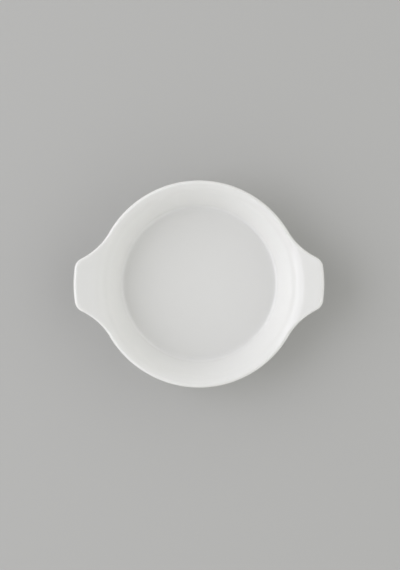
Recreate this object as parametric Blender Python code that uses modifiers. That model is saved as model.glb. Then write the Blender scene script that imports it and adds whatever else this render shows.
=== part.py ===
"""Round baking dish with two ears, in white glazed ceramic.

The dish is turned about +Z and stands on z = 0, with its ears along X. Its upper surface is one
line, turned about the axis: a flat floor, a cove, a straight steep wall, and a long outward flare
that goes on into the ears. The rounded lip ends that surface all round, and the ears carry it
further out, to an edge drawn in plan with arcs. The lower surface lies one wall thickness below,
measured square to the upper one.

Each ear is a piece of its own. It seats in a notch in the bowl's rim, square to the wall.
"""
import math

import bmesh
import bpy
from mathutils import Vector

# Bowl, in metres and radians
RIM_RADIUS = 0.0900
INNER_DEPTH = 0.0300
WALL_SLOPE = math.radians(64.1)
COVE_RADIUS = 0.0040
FLARE_WIDTH = 0.0108
FLARE_RADIUS = 0.0206
FLOOR_THICKNESS = 0.0048
WALL_THICKNESS = 0.0044
LIP_THICKNESS = 0.0044

# Ears
EAR_PROJECTION = 0.0186
EAR_END_WIDTH = 0.0404
EAR_SIDE_ANGLE = math.radians(29.3)
EAR_CORNER_RADIUS = 0.0103
EAR_BLEND_RADIUS = 0.0559
EAR_RISE = math.radians(14.0)
EAR_THICKNESS = 0.0066

# Seat between an ear and the bowl
SEAT_INSET = 0.0048
SEAT_LAND = 0.0036
SEAT_CLEARANCE = 0.0003

# Foot ring
FOOT_HEIGHT = 0.0018
FOOT_WIDTH = 0.0046
FOOT_SETBACK = 0.0030
FOOT_DRAFT = 0.0005
FOOT_EDGE_RADIUS = 0.0006

# Facets
TURN_STEPS = 96
COVE_STEPS = 5
FLARE_STEPS = 6
LIP_STEPS = 7
EAR_END_STEPS = 6
EAR_CORNER_STEPS = 7
EAR_BLEND_STEPS = 8
EAR_ROW_STEPS = 6
SEAT_STEPS = 24
FOOT_EDGE_STEPS = 3

# Sizes that follow from those above
FLOOR_HEIGHT = FOOT_HEIGHT + FLOOR_THICKNESS
LIP_HEIGHT = FLOOR_HEIGHT + INNER_DEPTH
EAR_END_RADIUS = RIM_RADIUS + EAR_PROJECTION
FLARE_START = RIM_RADIUS - FLARE_WIDTH
FLARE_CENTRE = FLARE_START + FLARE_RADIUS * math.sin(WALL_SLOPE)
FLARE_END = FLARE_CENTRE - FLARE_RADIUS * math.sin(EAR_RISE)
SEAT_RADIUS = RIM_RADIUS - SEAT_INSET


def flare_tilt(radius):
    """Tilt of the upper surface above level, on the flare and on the ears."""
    if radius >= FLARE_END:
        return EAR_RISE
    return math.asin(min((FLARE_CENTRE - radius) / FLARE_RADIUS, math.sin(WALL_SLOPE)))


def flare_rise(radius):
    """Height of the upper surface above the start of the flare."""
    tilt = flare_tilt(radius)
    rise = FLARE_RADIUS * (math.cos(tilt) - math.cos(WALL_SLOPE))
    return rise + max(radius - FLARE_END, 0.0) * math.tan(EAR_RISE)


def lip_tangent_radius():
    """Radius at which the upper surface runs into the round of the lip."""
    half = LIP_THICKNESS / 2
    radius = RIM_RADIUS - half
    for _ in range(20):
        radius = RIM_RADIUS - half * (1 + math.sin(flare_tilt(radius)))
    return radius


LIP_START = lip_tangent_radius()
LIP_CROWN = LIP_THICKNESS / 2 * (1 - math.cos(flare_tilt(LIP_START)))
FLARE_HEIGHT = LIP_HEIGHT - LIP_CROWN - flare_rise(LIP_START)
WALL_HEIGHT = FLOOR_HEIGHT + COVE_RADIUS * (1 - math.cos(WALL_SLOPE))
WALL_START = FLARE_START - (FLARE_HEIGHT - WALL_HEIGHT) / math.tan(WALL_SLOPE)
FLOOR_RADIUS = WALL_START - COVE_RADIUS * math.sin(WALL_SLOPE)
FOOT_OUTER_RADIUS = FLOOR_RADIUS - FOOT_SETBACK
FOOT_INNER_RADIUS = FOOT_OUTER_RADIUS - FOOT_WIDTH


def surface(radius):
    """Height and tilt of the upper surface at a radius from the axis."""
    if radius <= FLOOR_RADIUS:
        return FLOOR_HEIGHT, 0.0
    if radius <= WALL_START:
        tilt = math.asin((radius - FLOOR_RADIUS) / COVE_RADIUS)
        return FLOOR_HEIGHT + COVE_RADIUS * (1 - math.cos(tilt)), tilt
    if radius <= FLARE_START:
        return WALL_HEIGHT + (radius - WALL_START) * math.tan(WALL_SLOPE), WALL_SLOPE
    return FLARE_HEIGHT + flare_rise(radius), flare_tilt(radius)


def eased(value, start, end):
    """0 before start, 1 after end and a smooth step between them."""
    share = min(max((value - start) / (end - start), 0.0), 1.0)
    return share * share * (3 - 2 * share)


def thickness(radius):
    """Thickness under the upper surface, thin at the lip and stout in floor and ears."""
    value = FLOOR_THICKNESS
    value += (WALL_THICKNESS - FLOOR_THICKNESS) * eased(radius, FLOOR_RADIUS, WALL_START)
    value += (LIP_THICKNESS - WALL_THICKNESS) * eased(radius, WALL_START, LIP_START)
    value += (EAR_THICKNESS - LIP_THICKNESS) * eased(radius, RIM_RADIUS, EAR_END_RADIUS)
    return value


def upper_point(radius):
    """Point of the upper surface in the XZ plane."""
    return Vector((radius, 0.0, surface(radius)[0]))


def upper_normal(radius):
    """Normal of the upper surface in the XZ plane, which leans to the axis."""
    tilt = surface(radius)[1]
    return Vector((-math.sin(tilt), 0.0, math.cos(tilt)))


def lower_point(radius):
    """Point of the lower surface under the upper one at a radius."""
    return upper_point(radius) - upper_normal(radius) * thickness(radius)


def round_over(start, normal, outward, width, steps):
    """Half circle from the end of the upper surface to the end of the lower one."""
    centre = start - normal * width / 2
    points = []
    for step in range(1, steps):
        turn = math.pi * step / steps
        points.append(centre + (normal * math.cos(turn) + outward * math.sin(turn)) * width / 2)
    return points


def bowl_radii():
    """Radii at which the turned profile of the bowl has its points."""
    radii = []
    for step in range(COVE_STEPS + 1):
        tilt = WALL_SLOPE * step / COVE_STEPS
        radii.append(FLOOR_RADIUS + COVE_RADIUS * math.sin(tilt))
    for step in range(FLARE_STEPS + 1):
        radii.append(FLARE_START + (LIP_START - FLARE_START) * step / FLARE_STEPS)
    return radii


def bowl_profile():
    """Profile from the middle of the floor, over the lip, to the middle of the base."""
    radii = bowl_radii()
    normal = upper_normal(LIP_START)
    outward = Vector((normal.z, 0.0, -normal.x))
    lip = round_over(upper_point(LIP_START), normal, outward, LIP_THICKNESS, LIP_STEPS)
    profile = [Vector((0.0, 0.0, FLOOR_HEIGHT))]
    profile += [upper_point(radius) for radius in radii]
    profile += lip
    profile += [lower_point(radius) for radius in reversed(radii)]
    profile.append(Vector((0.0, 0.0, FOOT_HEIGHT)))
    return profile


def foot_profile():
    """Closed profile of the foot ring, down its outer side and up its inner one."""
    edge = FOOT_EDGE_RADIUS
    outer = FOOT_OUTER_RADIUS
    inner = FOOT_INNER_RADIUS
    profile = [Vector((outer + FOOT_DRAFT, 0.0, FOOT_HEIGHT))]
    for step in range(FOOT_EDGE_STEPS + 1):
        turn = math.pi / 2 * step / FOOT_EDGE_STEPS
        across = edge * (1 - math.cos(turn))
        profile.append(Vector((outer - across, 0.0, edge * (1 - math.sin(turn)))))
    for step in range(FOOT_EDGE_STEPS, -1, -1):
        turn = math.pi / 2 * step / FOOT_EDGE_STEPS
        across = edge * (1 - math.cos(turn))
        profile.append(Vector((inner + across, 0.0, edge * (1 - math.sin(turn)))))
    profile.append(Vector((inner - FOOT_DRAFT, 0.0, FOOT_HEIGHT)))
    return profile


def arc(centre, radius, start, end, steps, bulge):
    """Points and outward normals on an arc. A bulge of -1 is a hollow arc."""
    stations = []
    for step in range(steps + 1):
        turn = start + (end - start) * step / steps
        way = Vector((math.cos(turn), math.sin(turn), 0.0))
        stations.append((centre + way * radius, way * bulge))
    return stations


def ear_half_outline():
    """Plan of the ear's edge from its middle to the rim: end, corner, side, blend and rim."""
    along = Vector((math.cos(EAR_SIDE_ANGLE), -math.sin(EAR_SIDE_ANGLE), 0.0))
    across = Vector((math.sin(EAR_SIDE_ANGLE), math.cos(EAR_SIDE_ANGLE), 0.0))
    half_width = EAR_END_WIDTH / 2
    corner = Vector((math.sqrt(EAR_END_RADIUS**2 - half_width**2), half_width, 0.0))
    reach = corner.dot(across)

    corner_run = math.sqrt((EAR_END_RADIUS - EAR_CORNER_RADIUS) ** 2 - (reach - EAR_CORNER_RADIUS) ** 2)
    corner_centre = across * (reach - EAR_CORNER_RADIUS) + along * corner_run
    corner_start = math.atan2(corner_centre.y, corner_centre.x)
    side_turn = math.atan2(across.y, across.x)

    blend_limit = (corner_run**2 - RIM_RADIUS**2 + reach**2) / (2 * (RIM_RADIUS - reach))
    blend = min(EAR_BLEND_RADIUS, blend_limit)
    blend_run = math.sqrt((RIM_RADIUS + blend) ** 2 - (reach + blend) ** 2)
    blend_centre = across * (reach + blend) + along * blend_run
    rim_start = math.atan2(blend_centre.y, blend_centre.x)
    rim_end = rim_start + SEAT_LAND / RIM_RADIUS

    middle = Vector((0.0, 0.0, 0.0))
    outline = arc(middle, EAR_END_RADIUS, 0.0, corner_start, EAR_END_STEPS, 1)
    outline += arc(corner_centre, EAR_CORNER_RADIUS, corner_start, side_turn, EAR_CORNER_STEPS, 1)[1:]
    outline += arc(blend_centre, blend, side_turn + math.pi, rim_start + math.pi, EAR_BLEND_STEPS, -1)
    outline += arc(middle, RIM_RADIUS, rim_start, rim_end, 1, 1)[1:]
    return outline


def ear_outline():
    """The whole edge of the ear, from the rim on its -Y side to the rim on its +Y side."""
    half = ear_half_outline()
    mirrored = []
    for point, way in reversed(half[1:]):
        mirrored.append((Vector((point.x, -point.y, 0.0)), Vector((way.x, -way.y, 0.0))))
    return mirrored + half


def ear_half_angle():
    """Angle about the axis from the middle of the ear to the end of its seat."""
    point = ear_half_outline()[-1][0]
    return math.atan2(point.y, point.x)


def turned(point, angle):
    """A point or direction in the XZ plane, turned about the axis."""
    return Vector((point.x * math.cos(angle), point.x * math.sin(angle), point.z))


def at_plan(place, depth):
    """Point at a depth square to the upper surface, below a place in plan."""
    radius = place.length
    angle = math.atan2(place.y, place.x)
    return turned(upper_point(radius), angle) - turned(upper_normal(radius), angle) * depth


def ear_section(edge, outward, seat_angle):
    """Closed ring of points from the seat, over the edge of the ear, back to the seat."""
    width = thickness(edge.length)
    start = edge - outward * width / 2
    for _ in range(8):
        angle = math.atan2(start.y, start.x)
        normal = turned(upper_normal(start.length), angle)
        start = edge - outward * width / 2 + Vector((normal.x, normal.y, 0.0)) * width / 2

    lean = upper_normal(SEAT_RADIUS)
    step_off = turned(Vector((lean.z, 0.0, -lean.x)), seat_angle) * SEAT_CLEARANCE
    seat_top = turned(upper_point(SEAT_RADIUS), seat_angle) + step_off
    seat_bottom = turned(lower_point(SEAT_RADIUS), seat_angle) + step_off

    root = Vector((seat_top.x, seat_top.y, 0.0))
    shares = [step / EAR_ROW_STEPS for step in range(1, EAR_ROW_STEPS + 1)]
    rows = [root.lerp(start, share) for share in shares]
    spare = width - thickness(start.length)
    top = [at_plan(row, 0.0) for row in rows]
    bottom = [at_plan(row, thickness(row.length) + spare * share) for row, share in zip(rows, shares)]
    over = (outward - normal * outward.dot(normal)).normalized()
    edge_round = round_over(top[-1], normal, over, width, LIP_STEPS)
    return [seat_top] + top + edge_round + list(reversed(bottom)) + [seat_bottom]


def ear_mesh():
    """Loft of the ear's sections along its edge, closed at both ends."""
    outline = ear_outline()
    runs = [0.0]
    for before, after in zip(outline, outline[1:]):
        runs.append(runs[-1] + (after[0] - before[0]).length)
    half_angle = ear_half_angle()
    shape = bmesh.new()
    rings = []
    for (edge, outward), run in zip(outline, runs):
        seat_angle = half_angle * (2 * run / runs[-1] - 1)
        rings.append([shape.verts.new(point) for point in ear_section(edge, outward, seat_angle)])
    for before, after in zip(rings, rings[1:]):
        for place, vertex in enumerate(before):
            follower = (place + 1) % len(before)
            shape.faces.new((vertex, before[follower], after[follower], after[place]))
    shape.faces.new(rings[0])
    shape.faces.new(list(reversed(rings[-1])))
    bmesh.ops.recalc_face_normals(shape, faces=shape.faces)
    mesh = bpy.data.meshes.new("ear")
    shape.to_mesh(mesh)
    shape.free()
    return mesh


def notch_mesh():
    """Solid that cuts an ear's notch: a stretch of ring with its inner side square to the wall."""
    half_angle = ear_half_angle() + SEAT_CLEARANCE / RIM_RADIUS
    room = 2 * (LIP_THICKNESS + EAR_THICKNESS)
    lean = upper_normal(SEAT_RADIUS)
    seat = upper_point(SEAT_RADIUS)
    above = seat + lean * room
    below = seat - lean * room
    outside = RIM_RADIUS + room
    section = [above, below, Vector((outside, 0.0, below.z)), Vector((outside, 0.0, above.z))]
    shape = bmesh.new()
    start = [shape.verts.new(turned(point, -half_angle)) for point in section]
    face = shape.faces.new(start)
    bmesh.ops.spin(
        shape,
        geom=[face] + list(face.edges) + start,
        cent=(0.0, 0.0, 0.0),
        axis=(0.0, 0.0, 1.0),
        angle=2 * half_angle,
        steps=SEAT_STEPS,
        use_merge=False,
        use_duplicate=False,
    )
    bmesh.ops.recalc_face_normals(shape, faces=shape.faces)
    mesh = bpy.data.meshes.new("notch")
    shape.to_mesh(mesh)
    shape.free()
    return mesh


def profile_mesh(name, profile, closed):
    """Edges that join the points of a profile."""
    mesh = bpy.data.meshes.new(name)
    edges = [(place, place + 1) for place in range(len(profile) - 1)]
    if closed:
        edges.append((len(profile) - 1, 0))
    mesh.from_pydata(profile, edges, [])
    return mesh


def add_object(name, mesh, collection, material=None):
    """Object with a mesh, in a collection, with a material."""
    thing = bpy.data.objects.new(name, mesh)
    collection.objects.link(thing)
    if material:
        mesh.materials.clear()
        mesh.materials.append(material)
    return thing


def turn_profile(thing):
    """Turns a profile into a solid about the Z axis."""
    screw = thing.modifiers.new("turn", "SCREW")
    screw.axis = "Z"
    screw.angle = 2 * math.pi
    screw.steps = TURN_STEPS
    screw.render_steps = TURN_STEPS
    screw.use_merge_vertices = True
    screw.merge_threshold = 0.00001


def cut(thing, cutter):
    """Takes a cutter's shape out of an object."""
    boolean = thing.modifiers.new("cut_" + cutter.name, "BOOLEAN")
    boolean.operation = "DIFFERENCE"
    boolean.solver = "EXACT"
    boolean.object = cutter


def settle(thing, material):
    """Makes an object's modifiers part of its mesh and shades its round faces smooth."""
    bpy.context.view_layer.update()
    evaluated = thing.evaluated_get(bpy.context.evaluated_depsgraph_get())
    mesh = bpy.data.meshes.new_from_object(evaluated)
    thing.modifiers.clear()
    thing.data = mesh
    mesh.materials.clear()
    mesh.materials.append(material)
    mesh.shade_smooth()
    mesh.set_sharp_from_angle(angle=math.radians(35.0))


def surface_material(name, colour, roughness):
    """Plain finish of a fired surface."""
    material = bpy.data.materials.new(name)
    material.use_nodes = True
    shader = material.node_tree.nodes["Principled BSDF"]
    shader.inputs["Base Color"].default_value = (*colour, 1.0)
    shader.inputs["Roughness"].default_value = roughness
    shader.inputs["Metallic"].default_value = 0.0
    return material


def build():
    """Models the bowl, its two ears and its foot ring."""
    for thing in list(bpy.data.objects):
        bpy.data.objects.remove(thing, do_unlink=True)
    parts = bpy.data.collections.new("baking_dish")
    cutters = bpy.data.collections.new("cutters")
    bpy.context.scene.collection.children.link(parts)
    bpy.context.scene.collection.children.link(cutters)
    white_glaze = surface_material("white_glaze", (0.80, 0.80, 0.785), 0.14)
    bare_body = surface_material("bare_body", (0.72, 0.70, 0.66), 0.75)

    bowl = add_object("bowl", profile_mesh("bowl", bowl_profile(), False), parts)
    turn_profile(bowl)
    notch = notch_mesh()
    for side, angle in (("right", 0.0), ("left", math.pi)):
        cutter = add_object(side + "_notch", notch, cutters)
        cutter.rotation_euler.z = angle
        cutter.hide_render = True
        cutter.display_type = "WIRE"
        cut(bowl, cutter)
    settle(bowl, white_glaze)

    ear = ear_mesh()
    ear.materials.append(white_glaze)
    ear.shade_smooth()
    ear.set_sharp_from_angle(angle=math.radians(35.0))
    for side, angle in (("right", 0.0), ("left", math.pi)):
        add_object(side + "_ear", ear, parts).rotation_euler.z = angle

    foot = add_object("foot_ring", profile_mesh("foot_ring", foot_profile(), True), parts)
    turn_profile(foot)
    settle(foot, bare_body)


build()
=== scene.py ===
"""Finish of a round eared baking dish: its glazed body, its bare foot and the studio it stands in.

The glazed body is one seamless surface, as on a fired dish. A geometry node tree works it out from
the dish's sizes: a section turned about the axis, whose outer edge follows the ears in plan. Light
spreads a little way inside the ceramic, which softens the shade on its edges.
"""
import math
from types import SimpleNamespace

import bmesh
import bpy
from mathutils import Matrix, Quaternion, Vector


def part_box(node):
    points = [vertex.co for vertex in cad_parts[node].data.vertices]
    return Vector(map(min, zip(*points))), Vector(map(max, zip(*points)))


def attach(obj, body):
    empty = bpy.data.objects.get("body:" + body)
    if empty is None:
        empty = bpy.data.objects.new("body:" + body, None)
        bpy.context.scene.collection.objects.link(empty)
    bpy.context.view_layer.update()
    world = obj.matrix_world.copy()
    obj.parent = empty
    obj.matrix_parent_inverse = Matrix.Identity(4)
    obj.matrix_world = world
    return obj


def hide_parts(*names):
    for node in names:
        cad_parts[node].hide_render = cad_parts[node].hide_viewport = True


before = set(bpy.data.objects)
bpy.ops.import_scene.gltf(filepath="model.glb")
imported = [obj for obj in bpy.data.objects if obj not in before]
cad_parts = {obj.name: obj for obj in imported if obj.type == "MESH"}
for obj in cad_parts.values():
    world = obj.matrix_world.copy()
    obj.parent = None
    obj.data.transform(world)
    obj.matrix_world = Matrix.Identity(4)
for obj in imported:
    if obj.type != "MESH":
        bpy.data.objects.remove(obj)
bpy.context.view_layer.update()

bl_info = {
    "name": "Eared Baking Dish",
    "version": (1, 0, 0),
    "blender": (4, 5, 0),
    "location": "3D View > Sidebar > Baking Dish",
    "description": "Makes the glazed body and the bare foot of a round eared baking dish",
    "category": "Object",
}

_, BOWL_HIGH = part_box("bowl")
_, EAR_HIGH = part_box("right_ear")
_, FOOT_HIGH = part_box("foot_ring")

# Mesh density: points round the body, and rows on each stretch of its section
AROUND_POINTS = 720
FLOOR_ROWS = 6
COVE_ROWS = 12
WALL_ROWS = 8
FLARE_ROWS = 24
LIP_ROWS = 18

# Share of the points round the body that lie on its ears, and passes that settle the lip's place
EAR_POINT_SHARE = 0.5
EDGE_PASSES = 3

# Mesh density of the foot: points round it, and steps on each round of its section
FOOT_POINTS = 360
ARC_STEPS = 8

# The solid foot is wider at its top than at its bottom by this much on each side
FOOT_DRAFT = 0.0005

# Points closer than this become one
MERGE_DISTANCE = 0.000001

# Layers of finer noise in the fired surface
NOISE_DETAIL = 3.0

# Places of a mix node's colour sockets, which share their names with its number sockets
MIX_FIRST = 6
MIX_SECOND = 7
MIX_RESULT = 2

# The photograph's frame, in pixels, and where the middle of the dish lies in it
PHOTO_WIDTH = 400
PHOTO_HEIGHT = 570
DISH_COLUMN = 198.8
DISH_ROW = 284.25


def length(name, description, default):
    """A size in metres."""
    return bpy.props.FloatProperty(
        name=name, description=description, default=default, min=0.0, precision=5, unit="LENGTH"
    )


def angle(name, description, degrees):
    """An angle, given in degrees."""
    return bpy.props.FloatProperty(
        name=name, description=description, default=math.radians(degrees), unit="ROTATION"
    )


def share(name, description, default):
    """A plain number between 0 and 1."""
    return bpy.props.FloatProperty(
        name=name, description=description, default=default, min=0.0, max=1.0, subtype="FACTOR"
    )


def amount(name, description, default):
    """A plain number from 0 up."""
    return bpy.props.FloatProperty(name=name, description=description, default=default, min=0.0)


def colour(name, description, default):
    """A colour, as linear red, green and blue."""
    return bpy.props.FloatVectorProperty(
        name=name, description=description, default=default, size=3, min=0.0, max=1.0, subtype="COLOR"
    )


class DishBodySizes(bpy.types.PropertyGroup):
    """Sizes of the glazed body and its ears."""

    rim_radius: length("Rim radius", "Axis to the outermost edge of the lip", BOWL_HIGH.y)
    inner_depth: length("Inner depth", "Floor to the top of the lip", 0.0300)
    wall_slope: angle("Wall slope", "Slope of the straight wall above level", 64.1)
    cove_radius: length("Cove radius", "Round between floor and wall, inside", 0.0040)
    # The pool run sets how far a lighter tone reaches over the floor: glaze gathered in the cove, and
    # painted light that fills the shade of the crease
    pool_and_light_run: length("Pool run", "How far the gathered glaze reaches over the floor", 0.0035)
    flare_width: length("Flare width", "Start of the flare to the edge of the lip", 0.0108)
    flare_radius: length("Flare radius", "Round of the flare, inside", 0.0206)
    floor_thickness: length("Floor thickness", "Thickness of the floor", 0.0048)
    wall_thickness: length("Wall thickness", "Thickness of the wall above the cove", 0.0044)
    lip_thickness: length("Lip thickness", "Thickness of the rounded lip", 0.0044)
    foot_height: length("Foot height", "Height of the foot ring under the body", FOOT_HIGH.z)
    ear_projection: length("Ear projection", "Rim to the end of an ear", EAR_HIGH.x - BOWL_HIGH.y)
    ear_end_width: length("Ear end width", "Width of an ear at its end, before rounding", 0.0404)
    ear_side_angle: angle("Ear side angle", "Angle of an ear's sides to its middle line", 29.3)
    ear_corner_radius: length("Ear corner radius", "Round of an ear's corners in plan", 0.0103)
    ear_blend_radius: length("Ear blend radius", "Hollow between an ear and the rim in plan", 0.0559)
    ear_rise: angle("Ear rise", "Slope of an ear above level", 14.0)
    ear_thickness: length("Ear thickness", "Thickness of an ear at its end", 0.0066)
    edge_power: share("Edge power", "Round of all edges: 1 is a half circle, less is squarer", 0.70)


class DishFootSizes(bpy.types.PropertyGroup):
    """Sizes of the foot ring."""

    outer_radius: length("Outer radius", "Outer radius of the foot", FOOT_HIGH.x - FOOT_DRAFT)
    width: length("Width", "Width of the foot", 0.0046)
    blend_radius: length("Blend radius", "Hollow between the foot and the body", 0.0010)
    edge_radius: length("Edge radius", "Round of the bottom edges", 0.0006)
    root: length("Root", "How far the foot reaches into the body", 0.0003)
    sharp_angle: angle("Sharp angle", "Edges of the foot that bend more stay sharp", 50.0)
    glaze_line: length("Glaze line", "Height above the table at which the glaze ends", 0.0006)
    line_blend: share("Line blend", "Half the height of the glaze's end, in glaze lines", 0.1)
    line_wander: share("Line wander", "How far the glaze's end wanders, in glaze lines", 0.5)


class DishFinish(bpy.types.PropertyGroup):
    """Colours and surface of the glaze and of the bare ceramic, with light painted into the cove and onto
    the rounded edges.
    """

    glaze: colour("Glaze", "White of the glaze", (0.816, 0.816, 0.801))
    # Pooled glaze tone: lighter than the glaze, partly glaze gathered in the cove and partly painted
    # light that fills the shade there
    pool_and_light: colour("Pooled glaze", "Tone where the glaze gathers in the cove", (0.876, 0.876, 0.864))
    # Thin glaze tone: painted light, a lighter tone painted on the rounded edges
    painted_edge_light: colour("Thin glaze", "Tone where the glaze thins over the edges", (0.856, 0.853, 0.836))
    # The tone drift lets the painted light in the cove and on the edges vary with the glaze's slow waves
    tone_drift: share("Tone drift", "How much the pooled and thin tones drift", 0.4)
    glaze_roughness: share("Glaze roughness", "Roughness of the glaze", 0.08)
    roughness_drift: share("Roughness drift", "How much the glaze's roughness drifts", 0.06)
    ripple: length("Glaze ripple", "Height of the slow waves in the glaze", 0.00003)
    glaze_waves: amount("Glaze waves", "Waves in the glaze, in one metre", 55.0)
    glaze_grain: amount("Glaze grain", "Fine grain in the glaze, in one metre", 380.0)
    glaze_grain_share: share("Glaze grain share", "Fine grain against waves, glaze", 0.12)
    translucency: share("Translucency", "Share of the light that spreads inside the ceramic", 1.0)
    light_depth: length("Light depth", "How far light spreads inside the ceramic", 0.0016)
    bare: colour("Bare ceramic", "Tone of the unglazed ceramic", (0.700, 0.670, 0.620))
    bare_shade: share("Bare shade", "How bright the bare ceramic is between its grains", 0.88)
    bare_roughness: share("Bare roughness", "Roughness of the unglazed ceramic", 0.78)
    bare_height: length("Bare height", "Height of the grain of the bare ceramic", 0.00004)
    bare_waves: amount("Bare waves", "Waves in the bare ceramic, in one metre", 260.0)
    bare_grain: amount("Bare grain", "Grain in the bare ceramic, in one metre", 2600.0)
    bare_grain_share: share("Bare grain share", "Grain against waves, bare ceramic", 0.75)
    glazed_grain: share("Glazed grain", "Grain that shows where the foot is glazed", 0.05)


class StudioLook(bpy.types.PropertyGroup):
    """Table, light and camera."""

    table: colour("Table", "Colour of the plain table", (0.478, 0.478, 0.467))
    table_roughness: share("Table roughness", "Roughness of the table", 0.85)
    table_size: length("Table size", "Side of the square table", 8.0)
    table_gap: length("Table gap", "Gap under the foot, which keeps the faces apart", 0.0001)
    window_height: angle("Window height", "Height of the soft window light above level", 36.0)
    window_turn: angle("Window turn", "Turn of the window light from the left towards the back", 9.0)
    window_distance: length("Window distance", "Middle of the window light to the dish", 2.5)
    window_length: length("Window length", "Long side of the window light", 2.4)
    window_width: length("Window width", "Short side of the window light", 2.0)
    window_radiance: amount("Window radiance", "Brightness of the window light's face", 1.40)
    window_tint: colour("Window tint", "Colour of the window light", (0.910, 0.900, 1.0))
    walls_light: amount("Wall light", "Brightness of the walls behind and in front of the table", 1.15)
    ends_light: amount("End light", "How much brighter the walls are to the left and right", 0.44)
    ceiling_light: amount("Ceiling light", "Brightness of the ceiling overhead", 0.18)
    ceiling_ends: amount("Ceiling ends", "How much brighter the ceiling gets to the left and right", 1.23)
    walls_foot: share("Foot of the walls", "Sine of the height at which the walls begin", 0.12)
    walls_top: share("Top of the walls", "Sine of the height at which the ceiling begins", 0.50)
    foot_blend: share("Foot blend", "Half the height over which the walls begin", 0.06)
    top_blend: share("Top blend", "Half the height over which the ceiling begins", 0.20)
    foot_light: share("Foot light", "Light below the walls, as a share of theirs", 0.20)
    room_tint: colour("Room tint", "Colour of the light of walls and ceiling", (1.0, 1.0, 0.985))
    backdrop: colour("Backdrop", "Colour that the camera sees past the table", (0.46, 0.46, 0.453))
    camera_distance: length("Camera distance", "Camera to the top of the lip", 1.1655)
    camera_right: length("Camera right", "Camera to the right of the dish's axis", 0.020)
    camera_back: length("Camera back", "Camera behind the dish's axis", 0.024)
    camera_turn: angle("Camera turn", "Turn of the camera about its own axis", -0.34)
    camera_lens: amount("Camera lens", "Focal length in millimetres", 85.0)
    camera_sensor: amount("Camera sensor", "Long side of the sensor in millimetres", 36.0)


class Number:
    """A number worked out in a node tree. Sums with it add math nodes."""

    def __init__(self, tree, socket):
        self.tree = tree
        self.socket = socket

    def worked(self, operation, *others):
        node = self.tree.nodes.new("ShaderNodeMath")
        node.operation = operation
        for place, value in enumerate((self, *others)):
            plug(self.tree, value, node.inputs[place])
        return Number(self.tree, node.outputs[0])

    def __add__(self, other):
        return self.worked("ADD", other)

    def __sub__(self, other):
        return self.worked("SUBTRACT", other)

    def __rsub__(self, other):
        return self.worked("MULTIPLY_ADD", -1.0, other)

    def __mul__(self, other):
        return self.worked("MULTIPLY", other)

    def __truediv__(self, other):
        return self.worked("DIVIDE", other)

    def sine(self):
        return self.worked("SINE")

    def cosine(self):
        return self.worked("COSINE")

    def tangent(self):
        return self.worked("TANGENT")

    def arcsine(self):
        return self.worked("ARCSINE")

    def root(self):
        return self.worked("SQRT")

    def angle_over(self, other):
        return self.worked("ARCTAN2", other)

    def least(self, other):
        return self.worked("MINIMUM", other)

    def greatest(self, other):
        return self.worked("MAXIMUM", other)

    def over(self, other):
        return self.worked("GREATER_THAN", other)

    def within(self, low, high):
        return self.greatest(low).least(high)

    def eased(self, start, end):
        """0 up to start, 1 from end on and a smooth step between them."""
        node = self.tree.nodes.new("ShaderNodeMapRange")
        node.interpolation_type = "SMOOTHSTEP"
        plug(self.tree, self, node.inputs["Value"])
        plug(self.tree, start, node.inputs["From Min"])
        plug(self.tree, end, node.inputs["From Max"])
        return Number(self.tree, node.outputs["Result"])


def plug(tree, value, socket):
    """Puts a number or a plain value into a node's input."""
    if isinstance(value, Number):
        tree.links.new(value.socket, socket)
    else:
        socket.default_value = value


def body_lengths(size):
    """Adds the lengths and heights of the section that follow from the dish's sizes."""
    half_lip = size.lip_thickness * 0.5
    size.floor_height = size.foot_height + size.floor_thickness
    size.ear_end = size.rim_radius + size.ear_projection
    size.flare_start = size.rim_radius - size.flare_width
    size.flare_centre = size.flare_start + size.flare_radius * size.wall_slope.sine()
    size.flare_end = size.flare_centre - size.flare_radius * size.ear_rise.sine()

    on_flare = size.wall_slope.sine() - (size.flare_width - half_lip) / size.flare_radius
    lip_sine = (on_flare / (1.0 - half_lip / size.flare_radius)).greatest(size.ear_rise.sine())
    lip_cosine = (1.0 - lip_sine * lip_sine).root()
    size.lip_start = size.rim_radius - half_lip * (lip_sine + 1.0)
    lip_crown = half_lip * (1.0 - lip_cosine)
    lip_rise = size.flare_radius * (lip_cosine - size.wall_slope.cosine())

    size.flare_height = size.floor_height + size.inner_depth - lip_crown - lip_rise
    size.wall_height = size.floor_height + size.cove_radius * (1.0 - size.wall_slope.cosine())
    wall_run = (size.flare_height - size.wall_height) / size.wall_slope.tangent()
    size.wall_start = size.flare_start - wall_run
    size.cove_run = size.cove_radius * size.wall_slope.sine()
    size.floor_radius = size.wall_start - size.cove_run


def ear_turns(size):
    """Adds the turns and runs of the ear's edge: end, corner, side, hollow blend and rim."""
    half_width = size.ear_end_width * 0.5
    corner_x = (size.ear_end * size.ear_end - half_width * half_width).root()
    reach = corner_x * size.ear_side_angle.sine() + half_width * size.ear_side_angle.cosine()
    corner_out = size.ear_end - size.ear_corner_radius
    corner_in = reach - size.ear_corner_radius
    corner_run = (corner_out * corner_out - corner_in * corner_in).root()
    blend_out = size.rim_radius + size.ear_blend_radius
    blend_in = reach + size.ear_blend_radius
    blend_run = (blend_out * blend_out - blend_in * blend_in).root()

    size.side_turn = math.pi / 2 - size.ear_side_angle
    size.corner_turn = size.side_turn - corner_run.angle_over(corner_in)
    size.rim_turn = size.side_turn - blend_run.angle_over(blend_in)
    size.end_run = size.ear_end * size.corner_turn
    size.corner_run = size.ear_corner_radius * (size.side_turn - size.corner_turn)
    size.side_run = corner_run - blend_run
    size.blend_run = size.ear_blend_radius * (size.side_turn - size.rim_turn)
    size.rim_run = size.rim_radius * (math.pi / 2 - size.rim_turn)


def arc_steps(radius, start, turned):
    """How far a point gets along an arc, in x and y."""
    end = start + turned
    return radius * (end.cosine() - start.cosine()), radius * (end.sine() - start.sine())


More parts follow.
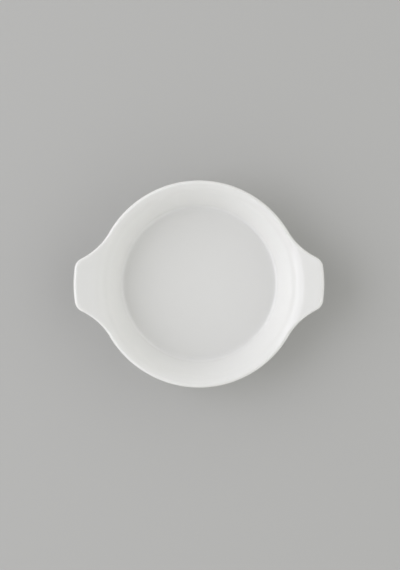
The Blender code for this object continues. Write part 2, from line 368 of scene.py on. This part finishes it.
def edge_of_dish(size, run):
    """Place and outward direction, in plan, after a run along the edge from the ear's middle."""
    ended = run.within(0.0, size.end_run) / size.ear_end
    run = run - size.end_run
    cornered = run.within(0.0, size.corner_run) / size.ear_corner_radius
    run = run - size.corner_run
    sided = run.within(0.0, size.side_run)
    run = run - size.side_run
    blended = run.within(0.0, size.blend_run) / size.ear_blend_radius
    run = run - size.blend_run
    rimmed = run.within(0.0, size.rim_run) / size.rim_radius

    corner_x, corner_y = arc_steps(size.ear_corner_radius, size.corner_turn, cornered)
    blend_x, blend_y = arc_steps(size.ear_blend_radius * -1.0, size.side_turn, blended * -1.0)
    rim_x, rim_y = arc_steps(size.rim_radius, size.rim_turn, rimmed)
    side_x = sided * size.side_turn.sine() * -1.0
    side_y = sided * size.side_turn.cosine()
    x = size.ear_end * ended.cosine() + corner_x + side_x + blend_x + rim_x
    y = size.ear_end * ended.sine() + corner_y + side_y + blend_y + rim_y
    facing = ended + cornered - blended + rimmed
    return SimpleNamespace(x=x, y=y, out_x=facing.cosine(), out_y=facing.sine())


def distance(x, y):
    """Distance from the axis."""
    return (x * x + y * y).root()


def tilt_at(size, radius):
    """Tilt of the upper surface above level."""
    cove = ((radius - size.floor_radius).within(0.0, size.cove_run) / size.cove_radius).arcsine()
    on_flare = radius.within(size.flare_start, size.flare_end)
    flare = ((size.flare_centre - on_flare) / size.flare_radius).arcsine()
    return cove + flare - size.wall_slope, cove, flare


def height_at(size, radius, cove, flare):
    """Height of the upper surface: floor, cove, wall, flare and ear, one on the other."""
    wall = (radius - size.wall_start).within(0.0, size.flare_start - size.wall_start)
    height = size.floor_height + size.cove_radius * (1.0 - cove.cosine())
    height = height + wall * size.wall_slope.tangent()
    height = height + size.flare_radius * (flare.cosine() - size.wall_slope.cosine())
    return height + (radius - size.flare_end).greatest(0.0) * size.ear_rise.tangent()


def thickness_at(size, radius):
    """Thickness of the body: stout in floor and ears, slim at the lip."""
    to_wall = radius.eased(size.floor_radius, size.wall_start)
    to_lip = radius.eased(size.wall_start, size.lip_start)
    to_ear = radius.eased(size.rim_radius, size.ear_end)
    value = size.floor_thickness + (size.wall_thickness - size.floor_thickness) * to_wall
    value = value + (size.lip_thickness - size.wall_thickness) * to_lip
    return value + (size.ear_thickness - size.lip_thickness) * to_ear


def edge_section(size, turn):
    """How far the edge's section has gone down and out, in halves of its thickness."""
    level = turn.cosine()
    down = 1.0 - level.worked("SIGN") * level.worked("ABSOLUTE").worked("POWER", size.edge_power)
    return down, turn.sine().greatest(0.0).worked("POWER", size.edge_power)


def edge_reach(size, leaning):
    """How far out the edge's section reaches where it leans, in halves of its thickness."""
    leaning = leaning * leaning
    power = (2.0 - size.edge_power).worked("POWER", -1.0)
    reach = (1.0 - leaning).worked("POWER", power) + leaning.worked("POWER", power)
    return reach.worked("POWER", 1.0 - size.edge_power * 0.5)


def lip_place(size, edge, half):
    """Place in plan where the upper surface runs into the round of the lip."""
    x = edge.x - edge.out_x * half
    y = edge.y - edge.out_y * half
    for _ in range(EDGE_PASSES):
        radius = distance(x, y)
        lean = tilt_at(size, radius)[0].sine() / radius
        reach = edge_reach(size, (edge.out_x * x + edge.out_y * y) * lean) * half
        x = edge.x - edge.out_x * reach - x * lean * half
        y = edge.y - edge.out_y * reach - y * lean * half
    return x, y


def pool_and_light_share(size, radius, cove):
    """How much of the lighter cove tone, gathered glaze and painted light over the crease's shade, lies
    on a point: most in the middle of the cove, none on floor and wall.
    """
    start = size.floor_radius - size.pool_and_light_run
    middle = size.floor_radius + size.cove_run * 0.5
    return radius.eased(start, middle) * (1.0 - cove.eased(0.5, 1.0))


def ramp(row, start, rows):
    """Runs from 0 to 1 over a stretch of rows."""
    return ((row - float(start)) / float(rows)).within(0.0, 1.0)


def add_node(tree, kind, **settings):
    """A node of a kind, with its settings."""
    node = tree.nodes.new(kind)
    for name, value in settings.items():
        setattr(node, name, value)
    return node


def tree_inputs(tree, group):
    """Gives a tree an input for each size of a property group."""
    sizes = {}
    node = add_node(tree, "NodeGroupInput")
    for name in group.__annotations__:
        label = group.bl_rna.properties[name].name
        tree.interface.new_socket(label, in_out="INPUT", socket_type="NodeSocketFloat")
        sizes[name] = Number(tree, node.outputs[label])
    return SimpleNamespace(**sizes)


def body_tree():
    """Node tree that makes the glazed body from the dish's sizes."""
    tree = bpy.data.node_groups.new("glazed_body", "GeometryNodeTree")
    tree.interface.new_socket("Geometry", in_out="OUTPUT", socket_type="NodeSocketGeometry")
    size = tree_inputs(tree, DishBodySizes)
    tree.interface.new_socket("Glaze", in_out="INPUT", socket_type="NodeSocketMaterial")
    body_lengths(size)
    ear_turns(size)

    half_rows = FLOOR_ROWS + COVE_ROWS + WALL_ROWS + FLARE_ROWS
    rows = 2 * half_rows + LIP_ROWS
    grid = add_node(tree, "GeometryNodeMeshGrid")
    grid.inputs["Size X"].default_value = 1.0
    grid.inputs["Size Y"].default_value = 1.0
    grid.inputs["Vertices X"].default_value = AROUND_POINTS + 1
    grid.inputs["Vertices Y"].default_value = rows + 1
    place = add_node(tree, "ShaderNodeSeparateXYZ")
    tree.links.new(add_node(tree, "GeometryNodeInputPosition").outputs[0], place.inputs[0])
    around = Number(tree, place.outputs["X"]) + 0.5
    row = (Number(tree, place.outputs["Y"]) + 0.5) * float(rows)

    # A quarter, from the middle of an ear to the middle of the rim, is mirrored to the others
    quarter = (around * 4.0).worked("PINGPONG", 1.0)
    on_ear = (quarter / EAR_POINT_SHARE).least(1.0)
    on_rim = (quarter - EAR_POINT_SHARE).greatest(0.0) / (1.0 - EAR_POINT_SHARE)
    ear_run = size.end_run + size.corner_run + size.side_run + size.blend_run
    edge = edge_of_dish(size, on_ear * ear_run + on_rim * size.rim_run)
    facing = on_ear * size.rim_turn + on_rim * (math.pi / 2 - size.rim_turn)
    edge_half = thickness_at(size, distance(edge.x, edge.y)) * 0.5
    lip_x, lip_y = lip_place(size, edge, edge_half)
    spare = edge_half - thickness_at(size, distance(lip_x, lip_y)) * 0.5

    folded = row.least(float(rows) - row)
    floor = ramp(folded, 0, FLOOR_ROWS)
    cove = ramp(folded, FLOOR_ROWS, COVE_ROWS)
    wall = ramp(folded, FLOOR_ROWS + COVE_ROWS, WALL_ROWS)
    flare = ramp(folded, FLOOR_ROWS + COVE_ROWS + WALL_ROWS, FLARE_ROWS)
    turn = ramp(row, half_rows, LIP_ROWS) * math.pi
    # Sines space the rows: wide in the middle of the floor, close at its edge
    floor_out = (floor * (math.pi / 2)).sine()
    radius = size.floor_radius * floor_out + size.cove_radius * (size.wall_slope * cove).sine()
    # Share of the lighter cove tone: gathered glaze, and painted light that fills the crease's shade
    pool_and_light_mask = pool_and_light_share(size, radius, cove)
    radius = radius + (size.flare_start - size.wall_start) * wall
    x = facing.cosine() * radius * (1.0 - flare) + lip_x * flare
    y = facing.sine() * radius * (1.0 - flare) + lip_y * flare

    radius = distance(x, y)
    tilt, cove_tilt, flare_tilt = tilt_at(size, radius)
    lean = tilt.sine() / radius
    normal = (x * lean * -1.0, y * lean * -1.0, tilt.cosine())
    half = thickness_at(size, radius) * 0.5 + spare * flare
    outward = edge.out_x * normal[0] + edge.out_y * normal[1]
    length_out = (1.0 - outward * outward).root()
    over = (
        (edge.out_x - normal[0] * outward) / length_out,
        (edge.out_y - normal[1] * outward) / length_out,
        normal[2] * outward * -1.0 / length_out,
    )
    rise = height_at(size, radius, cove_tilt, flare_tilt)
    down, out = edge_section(size, turn)
    point = [
        start + (o * out - n * down) * half
        for start, n, o in zip((x, y, rise), normal, over)
    ]
    side_x = 1.0 - (around - 0.5).worked("ABSOLUTE").worked("LESS_THAN", 0.25) * 2.0
    side_y = around.over(0.5) * 2.0 - 1.0

    # The rows are read from the flat grid, so the shares of painted light on the rounded edges and in the
    # cove are stored before it is bent into shape
    shape = grid.outputs["Mesh"]
    upper = 1.0 - row.over(float(half_rows + LIP_ROWS / 2))
    stored = (("edge_round", turn.sine()), ("pool_and_painted_light", pool_and_light_mask * upper))
    for name, value in stored:
        keep = add_node(tree, "GeometryNodeStoreNamedAttribute", data_type="FLOAT", domain="POINT")
        keep.inputs["Name"].default_value = name
        tree.links.new(shape, keep.inputs["Geometry"])
        plug(tree, value, keep.inputs["Value"])
        shape = keep.outputs["Geometry"]

    joined = add_node(tree, "ShaderNodeCombineXYZ")
    plug(tree, point[0] * side_x, joined.inputs["X"])
    plug(tree, point[1] * side_y, joined.inputs["Y"])
    plug(tree, point[2], joined.inputs["Z"])
    moved = add_node(tree, "GeometryNodeSetPosition")
    tree.links.new(shape, moved.inputs["Geometry"])
    tree.links.new(joined.outputs[0], moved.inputs["Position"])

    merge = add_node(tree, "GeometryNodeMergeByDistance")
    merge.inputs["Distance"].default_value = MERGE_DISTANCE
    smooth = add_node(tree, "GeometryNodeSetShadeSmooth")
    realize = add_node(tree, "GeometryNodeRealizeInstances")
    finish = add_node(tree, "GeometryNodeSetMaterial")
    output = add_node(tree, "NodeGroupOutput")
    inputs = next(node for node in tree.nodes if node.bl_idname == "NodeGroupInput")
    tree.links.new(moved.outputs["Geometry"], merge.inputs["Geometry"])
    tree.links.new(merge.outputs["Geometry"], smooth.inputs["Geometry"])
    tree.links.new(smooth.outputs["Geometry"], realize.inputs["Geometry"])
    tree.links.new(realize.outputs["Geometry"], finish.inputs["Geometry"])
    tree.links.new(inputs.outputs["Glaze"], finish.inputs["Material"])
    tree.links.new(finish.outputs["Geometry"], output.inputs["Geometry"])
    return tree


def settled(piece):
    """Turns a piece's modifiers into plain mesh and checks that it is closed."""
    bpy.context.view_layer.update()
    evaluated = piece.evaluated_get(bpy.context.evaluated_depsgraph_get())
    mesh = bpy.data.meshes.new_from_object(evaluated)
    piece.modifiers.clear()
    piece.data = mesh
    shape = bmesh.new()
    shape.from_mesh(mesh)
    open_edges = sum(1 for edge in shape.edges if not edge.is_manifold)
    volume = shape.calc_volume(signed=True)
    shape.free()
    if open_edges or volume <= 0.0:
        raise RuntimeError(f"{piece.name} isn't closed: {open_edges} open edges, volume {volume}")
    return piece


def new_piece(name, mesh):
    """An object for a mesh, in the scene."""
    piece = bpy.data.objects.new(name, mesh)
    bpy.context.scene.collection.objects.link(piece)
    return piece


def fired_surface():
    """Shader group for a fired surface: slow waves, fine grain and a tone that drifts."""
    name = "fired_surface"
    if name in bpy.data.node_groups:
        return bpy.data.node_groups[name]
    group = bpy.data.node_groups.new(name, "ShaderNodeTree")
    for label in ("Wave Scale", "Grain Scale", "Grain Share"):
        group.interface.new_socket(label, in_out="INPUT", socket_type="NodeSocketFloat")
    for label in ("Height", "Tone"):
        group.interface.new_socket(label, in_out="OUTPUT", socket_type="NodeSocketFloat")
    inputs = add_node(group, "NodeGroupInput")
    output = add_node(group, "NodeGroupOutput")
    place = add_node(group, "ShaderNodeTexCoord")
    waves = []
    for label in ("Wave Scale", "Grain Scale"):
        noise = add_node(group, "ShaderNodeTexNoise")
        noise.inputs["Detail"].default_value = NOISE_DETAIL
        group.links.new(place.outputs["Object"], noise.inputs["Vector"])
        group.links.new(inputs.outputs[label], noise.inputs["Scale"])
        waves.append(Number(group, noise.outputs[0]))
    grain_share = Number(group, inputs.outputs["Grain Share"])
    height = waves[0] * (1.0 - grain_share) + waves[1] * grain_share
    plug(group, height, output.inputs["Height"])
    plug(group, waves[0], output.inputs["Tone"])
    return group


def mixed(tree, share_value, first, second):
    """Mixes two colours by a share."""
    node = add_node(tree, "ShaderNodeMix", data_type="RGBA")
    plug(tree, share_value, node.inputs["Factor"])
    for value, socket in ((first, node.inputs[MIX_FIRST]), (second, node.inputs[MIX_SECOND])):
        if isinstance(value, bpy.types.NodeSocket):
            tree.links.new(value, socket)
        else:
            socket.default_value = (*value, 1.0)
    return node.outputs[MIX_RESULT]


def fired_material(name, waves, grain, grain_share, height):
    """A material with its shader, the fired surface group and a bump of a height."""
    material = bpy.data.materials.new(name)
    material.use_nodes = True
    tree = material.node_tree
    shader = tree.nodes["Principled BSDF"]
    surface = add_node(tree, "ShaderNodeGroup", node_tree=fired_surface())
    surface.inputs["Wave Scale"].default_value = waves
    surface.inputs["Grain Scale"].default_value = grain
    surface.inputs["Grain Share"].default_value = grain_share
    bump = add_node(tree, "ShaderNodeBump")
    bump.inputs["Distance"].default_value = height
    tree.links.new(surface.outputs["Height"], bump.inputs["Height"])
    tree.links.new(bump.outputs["Normal"], shader.inputs["Normal"])
    return material, tree, shader, surface, bump


def stored_value(tree, name):
    """A value that the body's mesh carries at each point."""
    node = add_node(tree, "ShaderNodeAttribute", attribute_name=name)
    return Number(tree, node.outputs["Fac"])


def glaze_material(finish):
    """White glaze with slow waves, lighter in the cove, where gathered glaze is painted lighter over the
    crease's shade, and with painted light on the rounded edges.
    """
    material, tree, shader, surface, _ = fired_material(
        "white_glaze", finish.glaze_waves, finish.glaze_grain, finish.glaze_grain_share, finish.ripple
    )
    tone = Number(tree, surface.outputs["Tone"])
    drift = tone * finish.tone_drift + (1.0 - finish.tone_drift)
    # Painted light: the lighter tone in the cove, over gathered glaze, and the lighter tone on the
    # rounded edges
    pool_and_light = mixed(tree, stored_value(tree, "pool_and_painted_light") * drift, finish.glaze, finish.pool_and_light)
    base = mixed(tree, stored_value(tree, "edge_round") * drift, pool_and_light, finish.painted_edge_light)
    tree.links.new(base, shader.inputs["Base Color"])
    smoothest = finish.glaze_roughness - finish.roughness_drift / 2
    plug(tree, tone * finish.roughness_drift + smoothest, shader.inputs["Roughness"])
    shader.inputs["Subsurface Weight"].default_value = finish.translucency
    shader.inputs["Subsurface Radius"].default_value = (1.0, 1.0, 1.0)
    shader.inputs["Subsurface Scale"].default_value = finish.light_depth
    return material


def foot_material(finish, size):
    """Glaze down the sides of the foot, and bare fired ceramic on the ground under it."""
    material, tree, shader, surface, bump = fired_material(
        "bare_body", finish.bare_waves, finish.bare_grain, finish.bare_grain_share, finish.bare_height
    )
    place = add_node(tree, "ShaderNodeSeparateXYZ")
    tree.links.new(add_node(tree, "ShaderNodeTexCoord").outputs["Object"], place.inputs[0])
    tone = Number(tree, surface.outputs["Tone"])
    grain = Number(tree, surface.outputs["Height"])
    wander = (tone - 0.5) * (size.glaze_line * size.line_wander)
    blend = size.glaze_line * size.line_blend
    above = Number(tree, place.outputs["Z"]) + wander
    glazed = above.eased(size.glaze_line - blend, size.glaze_line + blend)
    shaded = [channel * finish.bare_shade for channel in finish.bare]
    grainy = mixed(tree, grain, shaded, finish.bare)
    tree.links.new(mixed(tree, glazed, grainy, finish.glaze), shader.inputs["Base Color"])
    fall = finish.bare_roughness - finish.glaze_roughness
    plug(tree, finish.bare_roughness - glazed * fall, shader.inputs["Roughness"])
    plug(tree, grain * (1.0 - glazed * (1.0 - finish.glazed_grain)), bump.inputs["Height"])
    return material


def arc_points(radius, height, bend, start, end):
    """Points of an arc in a profile of radii and heights, between two angles in degrees."""
    points = []
    for step in range(ARC_STEPS + 1):
        turn = math.radians(start + (end - start) * step / ARC_STEPS)
        points.append((radius + bend * math.cos(turn), height + bend * math.sin(turn)))
    return points


class BAKINGDISH_OT_body(bpy.types.Operator):
    """Make the seamless glazed body with its two ears"""

    bl_idname = "baking_dish.body"
    bl_label = "Glazed body"

    def execute(self, context):
        scene = context.scene
        piece = new_piece("glazed_body", bpy.data.meshes.new("glazed_body"))
        modifier = piece.modifiers.new("shape", "NODES")
        modifier.node_group = body_tree()
        sizes = scene.dish_body_sizes
        labels = {sizes.bl_rna.properties[name].name: name for name in DishBodySizes.__annotations__}
        material = glaze_material(scene.dish_finish)
        for item in modifier.node_group.interface.items_tree:
            if item.in_out == "INPUT" and item.name in labels:
                modifier[item.identifier] = getattr(sizes, labels[item.name])
            elif item.in_out == "INPUT":
                modifier[item.identifier] = material
        settled(piece)
        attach(piece, "root")
        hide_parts("bowl", "right_ear", "left_ear")
        return {"FINISHED"}


class BAKINGDISH_OT_foot(bpy.types.Operator):
    """Make the foot ring that the dish stands on"""

    bl_idname = "baking_dish.foot"
    bl_label = "Foot ring"

    def execute(self, context):
        scene = context.scene
        size = scene.dish_foot_sizes
        top = scene.dish_body_sizes.foot_height
        outer = size.outer_radius
        inner = outer - size.width
        edge = size.edge_radius
        blend = size.blend_radius
        profile = arc_points(outer + blend, top - blend, blend, 90.0, 180.0)
        profile += arc_points(outer - edge, edge, edge, 0.0, -90.0)
        profile += arc_points(inner + edge, edge, edge, -90.0, -180.0)
        profile += arc_points(inner - blend, top - blend, blend, 0.0, 90.0)
        profile += [(inner - blend, top + size.root), (outer + blend, top + size.root)]
        mesh = bpy.data.meshes.new("foot_ring_finish")
        edges = [(place, (place + 1) % len(profile)) for place in range(len(profile))]
        mesh.from_pydata([(radius, 0.0, height) for radius, height in profile], edges, [])
        piece = new_piece("foot_ring_finish", mesh)
        screw = piece.modifiers.new("turn", "SCREW")
        screw.steps = screw.render_steps = FOOT_POINTS
        screw.use_merge_vertices = True
        screw.merge_threshold = MERGE_DISTANCE
        settled(piece)
        piece.data.materials.append(foot_material(scene.dish_finish, size))
        piece.data.shade_smooth()
        piece.data.set_sharp_from_angle(angle=size.sharp_angle)
        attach(piece, "root")
        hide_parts("foot_ring")
        return {"FINISHED"}


class BAKINGDISH_OT_stage(bpy.types.Operator):
    """Make the plain table, the soft light and the camera above"""

    bl_idname = "baking_dish.stage"
    bl_label = "Studio"

    def execute(self, context):
        scene = context.scene
        look = scene.dish_studio
        self.make_table(look)
        self.make_window(look)
        self.make_room(scene, look)
        self.make_camera(scene, look)
        scene.view_settings.view_transform = "Standard"
        return {"FINISHED"}

    def make_table(self, look):
        mesh = bpy.data.meshes.new("table")
        shape = bmesh.new()
        bmesh.ops.create_grid(shape, x_segments=1, y_segments=1, size=look.table_size / 2)
        bmesh.ops.translate(shape, verts=shape.verts, vec=(0.0, 0.0, -look.table_gap))
        shape.to_mesh(mesh)
        shape.free()
        table = new_piece("table", mesh)
        material = bpy.data.materials.new("table")
        material.use_nodes = True
        shader = material.node_tree.nodes["Principled BSDF"]
        shader.inputs["Base Color"].default_value = (*look.table, 1.0)
        shader.inputs["Roughness"].default_value = look.table_roughness
        mesh.materials.append(material)

    def make_window(self, look):
        lamp = bpy.data.lights.new("window", "AREA")
        lamp.shape = "RECTANGLE"
        lamp.size = look.window_length
        lamp.size_y = look.window_width
        lamp.color = look.window_tint
        lamp.energy = look.window_radiance * math.pi * lamp.size * lamp.size_y
        window = new_piece("window", lamp)
        level = math.cos(look.window_height)
        side = math.pi - look.window_turn
        rise = math.sin(look.window_height)
        way = Vector((math.cos(side) * level, math.sin(side) * level, rise))
        window.location = way * look.window_distance
        window.rotation_euler = way.to_track_quat("Z", "Y").to_euler()

    def make_room(self, scene, look):
        """Pale walls all round, a ceiling that is dim overhead and a dim band below the walls."""
        world = bpy.data.worlds.new("room")
        world.use_nodes = True
        tree = world.node_tree
        background = tree.nodes["Background"]
        place = add_node(tree, "ShaderNodeSeparateXYZ")
        tree.links.new(add_node(tree, "ShaderNodeTexCoord").outputs["Generated"], place.inputs[0])
        height = Number(tree, place.outputs["Z"])
        walls = height.eased(look.walls_foot - look.foot_blend, look.walls_foot + look.foot_blend)
        walls = walls * (1.0 - look.foot_light) + look.foot_light
        ceiling = height.eased(look.walls_top - look.top_blend, look.walls_top + look.top_blend)
        along = Number(tree, place.outputs["X"])
        walls_light = along * along * look.ends_light + look.walls_light
        ceiling_light = along.worked("ABSOLUTE") * look.ceiling_ends + look.ceiling_light
        light = walls * (walls_light * (1.0 - ceiling) + ceiling_light * ceiling)
        seen = Number(tree, add_node(tree, "ShaderNodeLightPath").outputs["Is Camera Ray"])
        plug(tree, light * (1.0 - seen) + seen, background.inputs["Strength"])
        tree.links.new(mixed(tree, seen, look.room_tint, look.backdrop), background.inputs["Color"])
        scene.world = world

    def make_camera(self, scene, look):
        data = bpy.data.cameras.new("camera")
        data.lens = look.camera_lens
        data.sensor_width = look.camera_sensor
        camera = new_piece("camera", data)
        size = scene.dish_body_sizes
        lip_height = size.foot_height + size.floor_thickness + size.inner_depth
        pixel = look.camera_distance * look.camera_sensor / look.camera_lens / PHOTO_HEIGHT
        middle_x = (PHOTO_WIDTH / 2 - DISH_COLUMN) * pixel
        middle_y = (DISH_ROW - PHOTO_HEIGHT / 2) * pixel
        middle = Vector((middle_x, middle_y, lip_height))
        eye = Vector((look.camera_right, look.camera_back, lip_height + look.camera_distance))
        upright = Vector((0.0, 0.0, 1.0))
        aim = upright.rotation_difference(eye - middle)
        camera.location = eye
        camera.rotation_euler = (aim @ Quaternion(upright, look.camera_turn)).to_euler()
        scene.camera = camera


class BAKINGDISH_PT_sidebar(bpy.types.Panel):
    """Sizes, finishes and steps of the baking dish"""

    bl_idname = "BAKINGDISH_PT_sidebar"
    bl_label = "Baking Dish"
    bl_space_type = "VIEW_3D"
    bl_region_type = "UI"
    bl_category = "Baking Dish"

    def draw(self, context):
        for step, group in STEPS:
            box = self.layout.box()
            settings = getattr(context.scene, group)
            for name in type(settings).__annotations__:
                box.prop(settings, name)
            box.operator(step.bl_idname)
        box = self.layout.box()
        for name in DishFinish.__annotations__:
            box.prop(context.scene.dish_finish, name)


STEPS = (
    (BAKINGDISH_OT_body, "dish_body_sizes"),
    (BAKINGDISH_OT_foot, "dish_foot_sizes"),
    (BAKINGDISH_OT_stage, "dish_studio"),
)
GROUPS = (
    ("dish_body_sizes", DishBodySizes),
    ("dish_foot_sizes", DishFootSizes),
    ("dish_finish", DishFinish),
    ("dish_studio", StudioLook),
)
CLASSES = [group for _, group in GROUPS] + [step for step, _ in STEPS] + [BAKINGDISH_PT_sidebar]


def register():
    for item in CLASSES:
        bpy.utils.register_class(item)
    for name, group in GROUPS:
        setattr(bpy.types.Scene, name, bpy.props.PointerProperty(type=group))


def unregister():
    for name, _ in GROUPS:
        delattr(bpy.types.Scene, name)
    for item in reversed(CLASSES):
        bpy.utils.unregister_class(item)


def main():
    register()
    bpy.ops.baking_dish.body()
    bpy.ops.baking_dish.foot()
    bpy.ops.baking_dish.stage()


if __name__ == "__main__":
    main()
